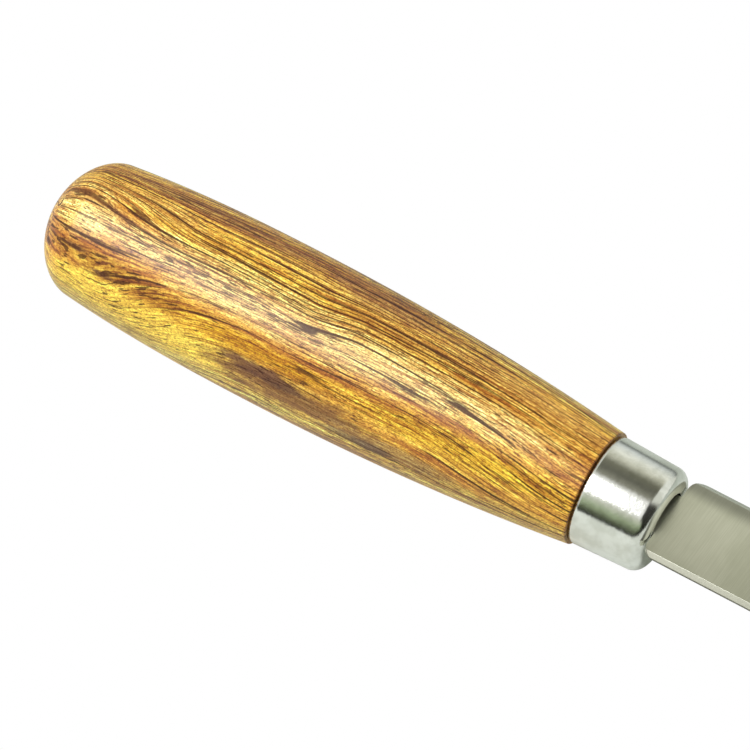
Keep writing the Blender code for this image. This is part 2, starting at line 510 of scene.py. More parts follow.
@dataclass(frozen=True)
class LacqueredWood(Finish):
    """Golden open-grained wood with a knot, brown figure and dark pores, under gloss lacquer, with a
    painted highlight along the lit band and painted shade along the underside.
    """

    bore: float  # its radius in millimetres
    seam: float  # where the wood ends beside the ferrule, in millimetres from the butt

    GOLDS = (
        (0.34, (0.56, 0.225, 0.024)),
        (0.45, (0.72, 0.345, 0.034)),
        (0.54, (0.82, 0.445, 0.044)),
        (0.66, (0.88, 0.535, 0.080)),
    )
    FLECKS = ((1.28, 1.50, 1.85), (0.54, 0.38, 0.25))
    BUTT_SHADE = (0.34, 0.16, 0.09)
    SEAM_SHADE = (0.60, 0.48, 0.40)
    BORE_BROWN = (0.030, 0.022, 0.016)
    PORE_BROWN = (0.060, 0.016, 0.006)
    SWEEPS = (
        Sweep(13.0, (35.0, 8.0), 33.0, 16.0),
        Sweep(-13.0, (60.0, 8.0), 68.0, 17.0),
        Sweep(-36.0, (55.0, 15.0), -55.0, 38.0),
        Sweep(-25.0, (85.0, 125.0), -45.0, 40.0),
        Sweep(5.0, (60.0, 72.0), 22.0, 20.0),
        Sweep(-4.0, (98.0, 124.0), 22.0, 25.0),
    )
    SPOTS_AND_PAINTED_LIGHT = (
        # painted highlight, the next two spots: paler, creamier wood along the band where the key
        # light's highlight falls, and where that band begins beside the dome
        Patch(58.0, 8.0, (50.0, 17.0), (0.92, 0.62, 0.15), 0.8),
        Patch(10.0, 8.0, (7.0, 20.0), (0.92, 0.62, 0.16), 0.85),
        # painted shade, the next two spots: darker, greener wood along the underside, the whole length
        # of the handle
        Patch(20.0, -68.0, (40.0, 13.0), (0.60, 0.43, 0.070), 0.6),
        Patch(90.0, -68.0, (44.0, 15.0), (0.60, 0.40, 0.070), 0.6),
        Patch(28.0, -46.0, (24.0, 15.0), (0.88, 0.59, 0.060), 0.85),
        Patch(42.0, -27.0, (13.0, 9.0), (0.86, 0.50, 0.030), 0.7),
        Patch(20.0, 36.0, (15.0, 9.0), (0.86, 0.52, 0.11), 0.6),
        Patch(100.0, -24.0, (24.0, 12.0), (0.80, 0.47, 0.030)),
        Patch(104.0, 34.0, (20.0, 20.0), (0.90, 0.53, 0.085), 0.75),
        # painted highlight: paler, creamier wood where the highlight falls near the neck
        Patch(90.0, 13.0, (22.0, 9.0), (0.92, 0.63, 0.18), 0.75),
        Patch(20.0, -23.0, (17.0, 8.5), (0.42, 0.180, 0.012)),
        Patch(38.0, 57.0, (28.0, 7.0), (0.40, 0.165, 0.026)),
        Patch(84.0, 44.0, (34.0, 15.0), (0.60, 0.285, 0.045), 0.5),
        Patch(70.0, 56.0, (12.0, 13.0), (0.44, 0.190, 0.040), 0.7),
        Patch(76.0, 32.0, (13.0, 6.0), (0.50, 0.220, 0.032), 0.4),
        Patch(57.0, -25.0, (14.0, 8.0), (0.52, 0.215, 0.004), 0.85),
        Patch(62.0, -46.0, (17.0, 13.0), (0.25, 0.098, 0.018), 0.95),
        Patch(60.0, -40.0, (7.0, 4.0), (0.10, 0.036, 0.014), 0.7),
        Patch(84.0, -53.0, (15.0, 8.0), (0.33, 0.160, 0.040)),
        Patch(11.5, -20.0, (3.0, 2.6), (0.13, 0.042, 0.012), 0.8),
        Patch(19.0, -29.0, (2.6, 1.6), (0.13, 0.042, 0.012), 0.75),
        Patch(54.0, -38.0, (7.0, 6.0), (0.15, 0.050, 0.014), 0.9),
        Patch(78.0, -57.0, (8.0, 4.5), (0.13, 0.060, 0.028)),
    )
    STREAKS = (
        Streaks(
            scale=(0.010, 0.75, 3.0),
            roughness=0.55,
            dark=(0.70, 0.54, 0.38),
            dark_run=(0.50, 0.34),
            light=(1.13, 1.23, 1.42),
            light_run=(0.54, 0.70),
            steady=True,
        ),
        Streaks(
            scale=(0.050, 2.3, 11.0),
            roughness=0.6,
            dark=(0.62, 0.42, 0.26),
            dark_run=(0.48, 0.36),
            light=(1.20, 1.42, 1.68),
            light_run=(0.53, 0.66),
        ),
        Streaks(
            scale=(0.32, 5.2, 19.0),
            roughness=0.65,
            dark=(0.42, 0.26, 0.15),
            dark_run=(0.48, 0.36),
            light=(1.30, 1.60, 1.95),
            light_run=(0.53, 0.63),
        ),
    )
    LINES = (
        GrowthLines(
            spacing=7.0,
            wander=3.4,
            shift=2.0,
            swell_scale=(0.050, 0.80, 5.0),
            swell_run=(0.43, 0.66),
            swell=0.10,
            edge=(0.02, -0.035),
            strength=0.95,
        ),
        GrowthLines(
            spacing=3.9,
            wander=3.2,
            shift=9.0,
            swell_scale=(0.080, 1.10, 29.0),
            swell_run=(0.46, 0.70),
            swell=0.15,
            edge=(0.03, -0.05),
            strength=0.75,
        ),
    )
    LINED = (Patch(76.0, 28.0, (26.0, 11.0)), Patch(106.0, -25.0, (14.0, 12.0)))
    CALM = (Patch(27.0, -48.0, (26.0, 18.0)), Patch(64.0, -42.0, (20.0, 18.0)))
    PITTED = (Patch(40.0, 7.0, (28.0, 13.0)), Patch(22.0, -24.0, (16.0, 8.0)))
    GOLD_SCALE = (0.012, 0.22)
    RAG_SCALE = (0.13, 0.60, 7.0)
    CROWD_SCALE = (0.030, 0.30, 13.0)
    PORE_SCALE = (0.33, 4.2, 17.0)
    PORE_RUN = (0.645, 0.69)
    PATCH_EDGE = (1.7, 0.2)
    BUTT_RUN = (3.4, 0.3)  # millimetres from the butt
    BORE_RUN = (15.0, 20.0)
    LINED_SIDE = ((-14.0, 14.0), (150.0, 80.0))  # degrees where the lines thicken and thin out
    LINED_RUN = (118.0, 88.0)
    SWING = 4.0  # degrees that the grain strays everywhere
    SWING_SCALE = (0.022, 0.07)
    REACH = 1.35  # how much the figure is stretched round the handle, up to the widest reach
    WIDEST_REACH = 15.0

    def material(self) -> bpy.types.Material:
        """Makes the material.

        Returns:
            The material.
        """
        material, graph = self.start("lacquered_wood")
        along, across, depth = self.own_place(graph, -BEST_SIDE)
        grain = self._grain(graph, along, across, depth)
        colour = graph.ramp(graph.noise(grain.at(*self.GOLD_SCALE)), self.GOLDS)
        colour = self._spots_and_painted_light(graph, colour, grain)
        colour = self._streaks(graph, colour, grain)
        colour, dark = self._marks(graph, colour, grain)
        mottle = graph.noise(graph.vector(along * 1.9, across * 3.0, depth * 3.0), 2.0, 0.65)
        colour = graph.tint(colour, self.FLECKS[0], mottle.step(0.53, 0.66))
        colour = graph.tint(colour, self.FLECKS[1], mottle.step(0.47, 0.34))
        colour = graph.tint(colour, self.BUTT_SHADE, along.step(*self.BUTT_RUN) * 0.9)
        colour = graph.tint(colour, self.SEAM_SHADE, along.step(self.seam - 0.35, self.seam - 0.1))
        radius = (across * across + depth * depth).root()
        inside = radius.step(self.bore + 0.55, self.bore + 0.15) * along.step(*self.BORE_RUN)
        colour = graph.mix(colour, self.BORE_BROWN, inside)
        self.finish(
            graph,
            {
                "Base Color": colour,
                "Roughness": 0.48 + (mottle - 0.5) * 0.2,
                "Normal": graph.bump(0.6 - dark * 0.5, 0.00010, 0.45),
                "Specular IOR Level": 0.05,
                "Coat Weight": (1.0 - inside) * (1.0 - dark * 0.55),
                "Coat Roughness": 0.40,
                "Coat IOR": 1.5,
            },
        )
        return material

    def _grain(self, graph: Graph, along: Value, across: Value, depth: Value) -> Grain:
        """Turns each place back by the grain's swings, so that the grain runs straight in it.

        Args:
            graph: The material's graph.
            along: The place along the knife, in millimetres.
            across: The place across it, square to the best side's direction.
            depth: The place towards the best side.

        Returns:
            The place, following the grain.
        """
        angle = graph.math("ARCTAN2", across, depth) * math.degrees(1.0)
        length, girth = self.SWING_SCALE
        place = graph.vector(along * length, across * girth, depth * girth)
        swing = graph.noise(place, 1.0) * self.SWING
        for sweep in self.SWEEPS:
            share = (angle - sweep.centre).bell(sweep.reach) * along.step(*sweep.run)
            swing = share * sweep.swing + swing
        turned = angle - swing
        turn = turned * math.radians(1.0)
        radius = (across * across + depth * depth).root()
        reach = graph.math("MINIMUM", radius * self.REACH, self.WIDEST_REACH)
        side = reach * graph.math("SINE", turn)
        return Grain(along, angle, turned, side, reach * graph.math("COSINE", turn))

    def _mask(self, patch: Patch, grain: Grain, rag: Value | Number) -> Value:
        """Where a patch lies.

        Args:
            patch: The patch.
            grain: The place.
            rag: How far the patch's edge is shifted.

        Returns:
            0 outside to 1 inside.
        """
        ahead = (grain.along - patch.station) / patch.reach[0]
        aside = (grain.angle - patch.angle) / patch.reach[1]
        return (ahead * ahead + aside * aside + rag).step(*self.PATCH_EDGE)

    def _spots_and_painted_light(self, graph: Graph, colour: Value, grain: Grain) -> Value:
        """Lays each soft spot over the colour, with a ragged edge: the wood's own spots, a painted
        highlight along the lit band and painted shade along the underside.

        Args:
            graph: The material's graph.
            colour: The wood's colour under them.
            grain: The place.

        Returns:
            The colour with them.
        """
        rag = (graph.noise(grain.at(*self.RAG_SCALE), 5.0, 0.75) - 0.5) * 4.2
        for patch in self.SPOTS_AND_PAINTED_LIGHT:
            colour = graph.mix(colour, patch.colour, self._mask(patch, grain, rag) * patch.strength)
        return colour

    def _share(self, graph: Graph, patches: Sequence[Patch], grain: Grain) -> Value:
        """How far a place lies in any of some patches.

        Args:
            graph: The material's graph.
            patches: The patches.
            grain: The place.

        Returns:
            0 outside them all to 1 inside one.
        """
        share = self._mask(patches[0], grain, 0.0)
        for patch in patches[1:]:
            share = graph.greater(share, self._mask(patch, grain, 0.0))
        return share

    def _streaks(self, graph: Graph, colour: Value, grain: Grain) -> Value:
        """Lays long lighter and darker streaks along the grain, broad ones, fibres and hairs.

        Args:
            graph: The material's graph.
            colour: The wood's colour under them.
            grain: The place.

        Returns:
            The colour with them.
        """
        strong = 1.0 - self._share(graph, self.CALM, grain) * 0.5
        for streaks in self.STREAKS:
            figure = graph.noise(grain.at(*streaks.scale), 2.0, streaks.roughness)
            colour = graph.tint(colour, streaks.dark, figure.step(*streaks.dark_run) * strong)
            light = figure.step(*streaks.light_run)
            colour = graph.tint(colour, streaks.light, light if streaks.steady else light * strong)
        return colour

    def _line(self, graph: Graph, lines: GrowthLines, grain: Grain, busy: Value) -> Value:
        """How far a place lies on one of a set of growth lines.

        Args:
            graph: The material's graph.
            lines: The set.
            grain: The place.
            busy: How much bolder the lines are there.

        Returns:
            0 off a line to the set's strength on one.
        """
        bold = graph.noise(grain.at(*lines.swell_scale), 2.0, 0.6) + busy
        away = grain.rings(lines.spacing, lines.wander, lines.shift)
        return (away - bold.step(*lines.swell_run) * lines.swell).step(*lines.edge) * lines.strength

    def _marks(self, graph: Graph, colour: Value, grain: Grain) -> tuple[Value, Value]:
        """Draws the thin dark lines where growth ends, and the pores.

        Args:
            graph: The material's graph.
            colour: The wood's colour under them.
            grain: The place.

        Returns:
            The colour with them, and how far they cover it.
        """
        thicken, thin_out = self.LINED_SIDE
        busy = grain.angle.step(*thicken) * grain.angle.step(*thin_out)
        busy = busy * (grain.along.step(*self.LINED_RUN) * 0.07 + 0.05)
        busy = busy + self._share(graph, self.LINED, grain) * 0.10
        ridge, thread = (self._line(graph, lines, grain, busy) for lines in self.LINES)
        crowd = graph.noise(grain.at(*self.CROWD_SCALE), 2.0, 0.5) - 0.5
        crowd = crowd * 0.40 + self._share(graph, self.PITTED, grain) * 0.065
        dash = graph.noise(grain.at(*self.PORE_SCALE), 1.0, 0.5) + crowd
        pores = dash.step(*self.PORE_RUN)
        quiet = 1.0 - self._share(graph, self.CALM, grain) * 0.7
        dark = graph.greater(graph.greater(ridge, thread) * quiet, pores * 0.85)
        return graph.mix(colour, self.PORE_BROWN, dark), dark


@dataclass(frozen=True)
class PolishedPlate(Finish):
    """Bright nickel-like plate with faint marks of the buffing wheel round it."""

    PLATES = ((0.84, 0.845, 0.82), (0.70, 0.705, 0.665))

    def material(self) -> bpy.types.Material:
        """Makes the material.

        Returns:
            The material.
        """
        material, graph = self.start("polished_plate")
        along, across, height = self.own_place(graph)
        marks = graph.noise(graph.vector(along * 3.4, across * 0.60, height * 0.60), 3.0, 0.6)
        cloud = graph.noise(graph.vector(along * 0.25, across * 0.25, height * 0.25), 3.0, 0.6)
        colour = graph.mix(*self.PLATES, cloud.step(0.40, 0.65))
        waves = graph.noise(graph.vector(along * 1.4, across * 0.55, height * 0.55), 2.0, 0.5)
        relief = waves * 0.6 + marks * 0.5
        self.finish(
            graph,
            {
                "Base Color": colour,
                "Metallic": 1.0,
                "Roughness": 0.12 + cloud.step(0.35, 0.75) * 0.05 + marks.step(0.5, 0.8) * 0.06,
                "Normal": graph.bump(relief, 0.00010, 0.32),
            },
        )
        return material


@dataclass(frozen=True)
class SatinSteel(Finish):
    """Stainless steel ground across the blade, a little warm and green, with brighter bevels."""

    half_width: float
    bevel: float

    STEELS = ((0.70, 0.705, 0.60), (0.80, 0.80, 0.70))
    GRIND_SHADE = (0.88, 0.88, 0.86)
    FAR_SHADE = (0.50, 0.50, 0.50)
    BEVEL = (0.80, 0.80, 0.72)
    NEAR_SHADE = (0.36, 0.36, 0.33)
    EDGE_SHADE = (0.30, 0.30, 0.28)

    def material(self) -> bpy.types.Material:
        """Makes the material.

        Returns:
            The material.
        """
        material, graph = self.start("satin_steel")
        along, across, height = self.own_place(graph)
        wander = graph.noise(graph.vector(along * 0.05, across * 0.08, height), 2.0, 0.5) * 1.6
        lines = graph.noise(graph.vector(along * 5.2 + wander, across * 0.10, height), 3.0, 0.65)
        fine = graph.noise(graph.vector(along * 13.0 + wander, across * 0.22, height), 2.0, 0.6)
        cloud = graph.noise(graph.vector(along * 0.09, across * 0.06, height * 0.1), 3.0, 0.55)
        flat_edge = (self.half_width - self.bevel) / MM
        near_edge = -self.half_width / MM
        colour = graph.mix(*self.STEELS, cloud.step(0.38, 0.66))
        colour = graph.tint(colour, self.GRIND_SHADE, lines.step(0.62, 0.40) * 0.6)
        colour = graph.tint(colour, self.FAR_SHADE, across.step(flat_edge - 4.4, flat_edge - 0.8))
        ground = abs(across).step(flat_edge - 0.05, flat_edge + 0.15)
        colour = graph.mix(colour, self.BEVEL, ground)
        near = across.step(0.0, -1.0) * ground
        colour = graph.tint(colour, self.NEAR_SHADE, near)
        colour = graph.tint(colour, self.EDGE_SHADE, across.step(near_edge + 0.22, near_edge + 0.10))
        relief = lines * 0.65 + fine * 0.35
        self.finish(
            graph,
            {
                "Base Color": colour,
                "Metallic": 1.0,
                "Roughness": 0.34 + (fine - 0.5) * 0.14 - ground * 0.12 + near * 0.26,
                "Normal": graph.bump(relief, 0.00003, 0.35),
            },
        )
        return material


@dataclass(frozen=True)
class CuredResin(Finish):
    """Dull brown resin, cast in the bore."""

    BROWNS = ((0.10, 0.075, 0.05), (0.19, 0.15, 0.11))

    def material(self) -> bpy.types.Material:
        """Makes the material.

        Returns:
            The material.
        """
        material, graph = self.start("cured_resin")
        place = self.own_place(graph)
        cloud = graph.noise(graph.vector(*(value * 0.35 for value in place)), 4.0, 0.6)
        colour = graph.mix(*self.BROWNS, cloud.step(0.35, 0.65))
        settings = {"Base Color": colour, "Roughness": 0.5 + (cloud - 0.5) * 0.3}
        self.finish(graph, {**settings, "Normal": graph.bump(cloud, 0.0002, 0.4)})
        return material


@dataclass(frozen=True)
class PaleFloor(Finish):
    """Matt paper, plain white to look at and a little darker where the knife mirrors it."""

    PAPERS = ((0.66, 0.69, 0.66), (0.69, 0.72, 0.69))
    FAR_SHADE = (0.72, 0.74, 0.72)

    def material(self) -> bpy.types.Material:
        """Makes the material.

        Returns:
            The material.
        """
        material, graph = self.start("pale_floor")
        place = graph.node("ShaderNodeTexCoord", None, None, "Object")
        across = graph.parts(place)[1]
        colour = graph.mix(*self.PAPERS, graph.noise(place, 2.0))
        colour = graph.tint(colour, self.FAR_SHADE, across.step(0.005, 0.05))
        settings = {"Base Color": colour, "Roughness": 0.9, "Specular IOR Level": 0.0}
        paper = graph.node("ShaderNodeBsdfPrincipled", None, settings)
        bright = graph.node("ShaderNodeEmission", None, {"Strength": 1.0})
        seen = graph.node("ShaderNodeLightPath", None, None, "Is Camera Ray")
        both = graph.node("ShaderNodeMixShader", None, {0: seen, 1: paper, 2: bright})
        graph.make("ShaderNodeOutputMaterial", None, {"Surface": both})
        return material


@dataclass(frozen=True)
class BlackFelt(Finish):
    """Felt that gives no light back."""

    BLACK = (0.012, 0.014, 0.010)

    def material(self) -> bpy.types.Material:
        """Makes the material.

        Returns:
            The material.
        """
        material, graph = self.start("black_felt")
        felt = graph.node("ShaderNodeBsdfDiffuse", None, {"Color": self.BLACK})
        graph.make("ShaderNodeOutputMaterial", None, {"Surface": felt})
        return material


# ---------------------------------------------------------------------------------------------
# Pieces


def corner_arc(centre: Spot, radius: float, start: float, end: float, steps: int) -> list[Spot]:
    """Points (station, radius) round a lathe profile's corner.

    Args:
        centre: The arc's centre, as (station, radius).
        radius: The arc's own radius.
        start: Where it starts, in degrees from straight forward towards outward.
        end: Where it ends.
        steps: How many steps it takes.

    Returns:
        The points, both ends included.
    """
    angles = [math.radians(start + (end - start) * i / steps) for i in range(steps + 1)]
    return [(centre[0] + radius * math.cos(a), centre[1] + radius * math.sin(a)) for a in angles]


@dataclass
class Piece:
    """One piece of the knife: its node, its slot and how it lies."""

    axes: KnifeAxes
    node: str
    slot: Slot

    def lay(
        self, shape: bmesh.types.BMesh, material: bpy.types.Material, sharp: float
    ) -> bpy.types.Object:
        """Args:
            shape: The mesh, which is freed.
            material: Its finish.
            sharp: The angle past which an edge stays sharp, in degrees.

        Returns:
            The object.
        """
        bmesh.ops.remove_doubles(shape, verts=shape.verts, dist=SAME_PLACE)
        bmesh.ops.recalc_face_normals(shape, faces=shape.faces)
        bmesh.ops.transform(shape, matrix=self.axes.matrix, verts=shape.verts)
        mesh = bpy.data.meshes.new(f"{self.node}_mesh")
        shape.to_mesh(mesh)
        shape.free()
        mesh.materials.append(material)
        mesh.shade_smooth()
        mesh.set_sharp_from_angle(angle=math.radians(sharp))
        piece = bpy.data.objects.new(f"{self.node}_fine", mesh)
        bpy.context.scene.collection.objects.link(piece)
        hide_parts(self.node)
        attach(piece, ROOT_BODY)
        return piece

    def turned(self, profile: Sequence[Spot], closed: bool, steps: int) -> bmesh.types.BMesh:
        """Spins (station, radius) points about the knife's axis.

        Args:
            profile: The points, in order.
            closed: Whether the last joins the first.
            steps: How many faces go round.

        Returns:
            The mesh.
        """
        shape = bmesh.new()
        verts = [shape.verts.new((station, 0.0, radius)) for station, radius in profile]
        edges = [shape.edges.new(pair) for pair in zip(verts, verts[1:])]
        if closed:
            edges.append(shape.edges.new((verts[-1], verts[0])))
        bmesh.ops.spin(
            shape,
            geom=verts + edges,
            cent=(0.0, 0.0, 0.0),
            axis=(1.0, 0.0, 0.0),
            angle=math.tau,
            steps=steps,
            use_merge=True,
        )
        return shape


@dataclass
class Handle(Piece):
    """The turned handle: a domed butt, a swell for the palm and a neck beside the ferrule."""

    length: float
    swell_radius: float
    neck_radius: float
    tenon_end: float
    tenon_radius: float
    bore_radius: float
    bore_end: float
    butt_radius: float = 13.0 * MM
    butt_depth: float = 9.7 * MM
    swell_station: float = 50.0 * MM
    back_taper: float = 2.4
    front_taper: float = 2.1
    neck_edge: float = 0.2 * MM
    tenon_rounding: float = 1.7 * MM
    bore_point: float = 2.5 * MM
    dome_steps: int = 36
    body_steps: int = 72
    around: int = 192

    @classmethod
    def from_frame(cls, axes: KnifeAxes, ferrule: NodeShape) -> "Handle":
        """Reads the handle's sizes from its node, the ferrule's and the resin's.

        Args:
            axes: The knife's own axes.
            ferrule: What the ferrule's node measures.

        Returns:
            The handle.
        """
        shape = NodeShape.read(axes, "handle")
        resin = NodeShape.read(axes, "tang_resin")
        seam = ferrule.lowest(0) - GAP
        neck_step = 0.55 * MM
        return cls(
            axes=axes,
            node="handle",
            slot=Slot.WOOD,
            length=seam,
            swell_radius=shape.radius(),
            neck_radius=ferrule.radius() + neck_step,
            tenon_end=shape.highest(0),
            tenon_radius=shape.radius(start=seam + MM),
            bore_radius=resin.radius() + GAP,
            bore_end=resin.lowest(0) - GAP,
        )

    def radius_at(self, station: float) -> float:
        """The wood's radius.

        Args:
            station: The distance from the butt.

        Returns:
            The radius there.
        """
        if station < self.swell_station:
            fall = (1 - station / self.swell_station) ** self.back_taper
            radius = self.swell_radius - (self.swell_radius - self.butt_radius) * fall
        else:
            run = (station - self.swell_station) / (self.length - self.swell_station)
            fall = run**self.front_taper
            radius = self.swell_radius - (self.swell_radius - self.neck_radius) * fall
        if station < self.butt_depth:
            radius *= math.sqrt(max(0.0, 1 - (1 - station / self.butt_depth) ** 2))
        return radius

    def build(self) -> bmesh.types.BMesh:
        """Turns the handle, with its tenon and bore.

        Returns:
            The mesh.
        """
        dome = [
            self.butt_depth * (1 - math.cos(math.pi / 2 * i / self.dome_steps))
            for i in range(self.dome_steps)
        ]
        end = self.length - self.neck_edge
        run = end - self.butt_depth
        body = [self.butt_depth + run * i / self.body_steps for i in range(self.body_steps + 1)]
        profile = [(station, self.radius_at(station)) for station in dome + body]
        edge_centre = (end, self.radius_at(end) - self.neck_edge)
        profile += corner_arc(edge_centre, self.neck_edge, 90, 0, 5)[1:]
        rounding = self.tenon_rounding
        tenon_centre = (self.tenon_end - rounding, self.tenon_radius - rounding)
        profile += [(self.length, self.tenon_radius)]
        profile += corner_arc(tenon_centre, rounding, 90, 0, 6)
        profile += [(self.tenon_end, self.bore_radius), (self.bore_end, self.bore_radius)]
        profile += [(self.bore_end - self.bore_point, 0.0)]
        return self.turned(profile, False, self.around)

    def dress(self) -> bpy.types.Object:
        """Builds the handle in its finish."""
        wood = LacqueredWood(self.axes, bore=self.bore_radius / MM, seam=self.length / MM)
        return self.lay(self.build(), wood.material(), 32.0)


@dataclass
class Ferrule(Piece):
    """The drawn ferrule: a slightly tapered cup with a soft front corner and a round hole."""

    back: float
    front: float
    back_radius: float
    front_radius: float
    hole_radius: float
    wall: float = 0.9 * MM
    corner: float = 2.6 * MM
    rim: float = 0.25 * MM
    cone: float = 0.45 * MM
    lean: float = 13.0
    bend: float = 0.8 * MM
    lip: float = 0.22 * MM
    around: int = 192

    @classmethod
    def from_frame(cls, axes: KnifeAxes, shape: NodeShape) -> "Ferrule":
        """Reads the ferrule's sizes from its node.

        Args:
            axes: The knife's own axes.
            shape: What the node measures.

        Returns:
            The ferrule.
        """
        front = shape.highest(0)
        hole = min(math.hypot(p.y, p.z) for p in shape.points if p.x > front - 0.1 * MM)
        draft = 0.45 * MM
        reach_back = 0.12 * MM
        return cls(
            axes=axes,
            node="ferrule",
            slot=Slot.PLATE,
            back=shape.lowest(0) - reach_back,
            front=front,
            back_radius=shape.radius(),
            front_radius=shape.radius() - draft,
            hole_radius=hole,
        )

    def build(self) -> bmesh.types.BMesh:
        """Turns the ferrule, with its back rim and cone.

        Returns:
            The mesh.
        """
        lean, outward = math.radians(self.lean), 90.0 + self.lean
        run, drop = self.cone * math.cos(lean), self.cone * math.sin(lean)
        bend_start = self.back + self.rim * (1 - math.sin(lean)) + run
        bend_centre = (bend_start + self.bend * math.sin(lean), self.back_radius - self.bend)
        height = bend_centre[1] + (self.bend - self.rim) * math.cos(lean) - drop
        profile = corner_arc((self.back + self.rim, height), self.rim, 180, outward, 6)
        profile += corner_arc(bend_centre, self.bend, outward, 90, 6)
        corner_centre = (self.front - self.corner, self.front_radius - self.corner)
        profile += corner_arc(corner_centre, self.corner, 88, 0, 20)
        profile += corner_arc((self.front - self.lip, self.hole_radius + self.lip), self.lip, 0, -90, 5)
        inner_front = self.front - self.wall
        inner_radius = self.front_radius - self.wall
        inner_corner = self.corner - self.wall
        inner_centre = (inner_front - inner_corner, inner_radius - inner_corner)
        profile += [(inner_front, self.hole_radius)]
        profile += corner_arc(inner_centre, inner_corner, 0, 90, 8)
        profile += [(self.back, self.back_radius - self.wall)]
        return self.turned(profile, True, self.around)

    def dress(self) -> bpy.types.Object:
        """Builds the ferrule in its finish."""
        return self.lay(self.build(), PolishedPlate(self.axes).material(), 40.0)


@dataclass
class Blade(Piece):
    """The two-edged blade, plain on one side and scalloped on the other, with its tang."""

    heel: float
    length: float
    half_width: float
    half_thickness: float
    offset: float
    tang_end: float
    tang_half_width: float
    tang_half_thickness: float = 0.55 * MM
    tang_root: float = 6.0 * MM
    edge_half: float = 0.06 * MM
    bevel: float = 1.2 * MM
    ridge_soft: float = 0.12 * MM
    heel_radius: float = 3.0 * MM
    tip_depth: float = 24.0 * MM
    tip_half_width: float = 0.4 * MM
    scallop_start: float = 38.0 * MM
    scallop_pitch: float = 8.5 * MM
    scallop_depth: float = 0.9 * MM
    scallop_steps: int = 14
    heel_steps: int = 12
    tip_steps: int = 40

    @classmethod
    def from_frame(cls, axes: KnifeAxes, ferrule: NodeShape) -> "Blade":
        """Reads the blade's sizes from its node and the ferrule's.

        Args:
            axes: The knife's own axes.
            ferrule: What the ferrule's node measures.

        Returns:
            The blade.
        """
        shape = NodeShape.read(axes, "blade")
        heel = ferrule.highest(0) + GAP
        body = [p for p in shape.points if p.x > heel + 20 * MM]
        tang = [p for p in shape.points if p.x < heel - MM]
        low, high = min(p.z for p in body), max(p.z for p in body)
        return cls(
            axes=axes,
            node="blade",
            slot=Slot.STEEL,
            heel=heel,
            length=shape.highest(0) - heel,
            half_width=shape.highest(1),
            half_thickness=(high - low) / 2,
            offset=(high + low) / 2,
            tang_end=shape.lowest(0),
            tang_half_width=max(p.y for p in tang),
        )

    @property
    def scallops(self) -> int:
        """How many whole scallops fit between the heel and the tip."""
        return int((self.length - self.tip_depth - self.scallop_start) / self.scallop_pitch)

    def scallop_cut(self, station: float) -> float:
        """How deep the scalloped edge is cut.

        Args:
            station: The distance from the heel.

        Returns:
            The depth there.
        """
        turn = (station - self.scallop_start) / self.scallop_pitch
        if not 0 < turn < self.scallops:
            return 0.0
        return self.scallop_depth * (1 - (2 * (turn % 1) - 1) ** 2)

    def heel_half_width(self, station: float) -> float:
        """Half the width with the heel's corners rounded.

        Args:
            station: The distance from the heel.

        Returns:
            Half the width there.
        """
        if station >= self.heel_radius:
            return self.half_width
        short = self.heel_radius - station
        return self.half_width - self.heel_radius + math.sqrt(self.heel_radius**2 - short**2)

    @staticmethod
    def tip_share(station: float, depth: float, end: float) -> float:
        """How much of the width is left in a tip that ends at end."""
        run = max(0.0, (station - (end - depth)) / depth)
        return math.sqrt(max(0.0, 1 - run**2))

    def stations(self) -> list[float]:
        """Where the blade's sections stand.

        Returns:
            Distances from the heel.
        """
        turn = math.pi / 2
        heel = [
            self.heel_radius * (1 - math.cos(turn * i / self.heel_steps))
            for i in range(self.heel_steps + 1)
        ]
        count = self.scallops * self.scallop_steps
        step = self.scallop_pitch / self.scallop_steps
        wavy = [self.scallop_start + step * i for i in range(count + 1)]
        start = self.length - self.tip_depth
        tip = [
            start + self.tip_depth * math.sin(turn * i / self.tip_steps)
            for i in range(self.tip_steps + 1)
        ]
        return heel + wavy + [station for station in tip if station > wavy[-1] + 0.2 * MM]

    def side(self, station: float, cut: float) -> list[Spot]:
        """One side of a section, from its edge to the flat.

        Args:
            station: The distance from the heel.
            cut: How deep the edge is cut there.

        Returns:
            Points (distance across, height above the middle).
        """
        share = self.tip_share(station, self.tip_depth, self.length)
        inner = self.tip_share(station, self.tip_depth - self.bevel, self.length - self.bevel)
        outline = self.heel_half_width(station)
        edge = max((outline - cut) * share, self.tip_half_width)
        flat = max((self.half_width - self.bevel - cut) * inner, self.tip_half_width / 2)
        rise = self.half_thickness - self.edge_half
        ridge = self.edge_half + rise * min(1.0, (self.length - station) / self.bevel)
        flat = min(flat, edge - 2 * self.ridge_soft)
        land = self.edge_half + rise * min(1.0, (self.half_width - outline) / self.bevel)
        slope = (ridge - land) / (edge - flat)
        soft = self.ridge_soft
        return [
            (edge, land),
            (flat + soft, ridge - slope * soft),
            (flat + soft / 3, ridge - slope * soft / 4),
            (max(flat - soft, flat / 2), ridge),
        ]

    def section(self, station: float) -> list[Spot]:
        """The blade's section.

        Args:
            station: The distance from the heel.

        Returns:
            Points (across, height) round it.
        """
        plain = [(-y, z) for y, z in self.side(station, 0.0)]
        wavy = self.side(station, self.scallop_cut(station))
        upper = plain + wavy[::-1]
        return upper + [(y, -z) for y, z in reversed(upper)]

    def tang_section(self, flare: float = 0.0) -> list[Spot]:
        """The tang's section, with as many points as the blade's.

        Args:
            flare: How much wider it is each way.

        Returns:
            Points (across, height) round it.
        """
        half, height = self.tang_half_width + flare, self.tang_half_thickness
        shares = (1.0, 0.995, 0.98, 0.95)
        plain = [(-half * share, height * (0.8 if share == 1.0 else 1.0)) for share in shares]
        upper = plain + [(-y, z) for y, z in reversed(plain)]
        return upper + [(y, -z) for y, z in reversed(upper)]

